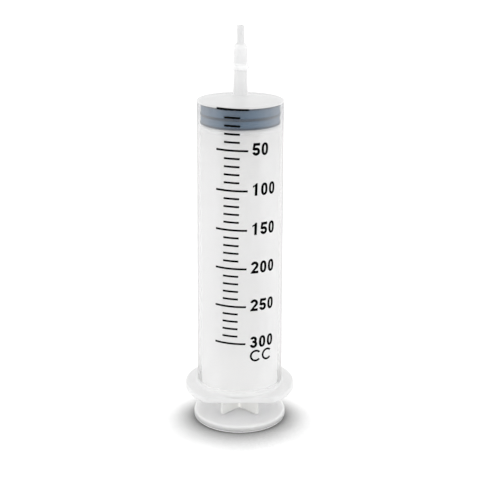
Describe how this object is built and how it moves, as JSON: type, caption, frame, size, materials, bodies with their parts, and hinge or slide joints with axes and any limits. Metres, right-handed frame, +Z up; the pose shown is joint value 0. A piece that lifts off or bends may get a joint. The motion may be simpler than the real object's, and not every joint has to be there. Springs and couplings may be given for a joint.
{
  "type": "catheter-tip syringe",
  "caption": "Large graduated plastic syringe with crossed-rib plunger, rubber gasket, finger flange and pull-off tip adapter, standing on its thumb press.",
  "frame": {"origin": "centre of the thumb press face, which stands on the surface", "axes": "+Z up the bore's axis to the tip; the printed scale faces -Y; the flange's long way is X"},
  "size_m": [0.0722, 0.061, 0.2597],
  "materials": {
    "barrel_plastic": "satin translucent polypropylene",
    "adapter_plastic": "satin translucent polyethylene",
    "rod_plastic": "satin milky polypropylene",
    "gasket_rubber": "smooth, slightly oiled",
    "scale_ink": "matt printing ink"
  },
  "bodies": {
    "plunger": {"plunger_rod": "rod_plastic"},
    "piston": {"piston_gasket": "gasket_rubber"},
    "barrel": {"barrel": "barrel_plastic", "major_graduations": "scale_ink", "minor_graduations": "scale_ink", "numeral_50": "scale_ink", "numeral_100": "scale_ink", "numeral_150": "scale_ink", "numeral_200": "scale_ink", "numeral_250": "scale_ink", "numeral_300": "scale_ink", "unit_mark": "scale_ink"},
    "adapter": {"tip_adapter": "adapter_plastic"}
  },
  "joints": [
    {"name": "rod_turn", "type": "hinge", "parent": "plunger", "child": "piston", "pos_m": [0, 0, 0.2], "axis": [0, 0, 1], "continuous": true},
    {"name": "stroke", "type": "slide", "parent": "piston", "child": "barrel", "axis": [0, 0, 1], "range_m": [0, 0.151]},
    {"name": "adapter_pull", "type": "slide", "parent": "barrel", "child": "adapter", "axis": [0, 0, 1], "range_m": [0, 0.02]}
  ]
}
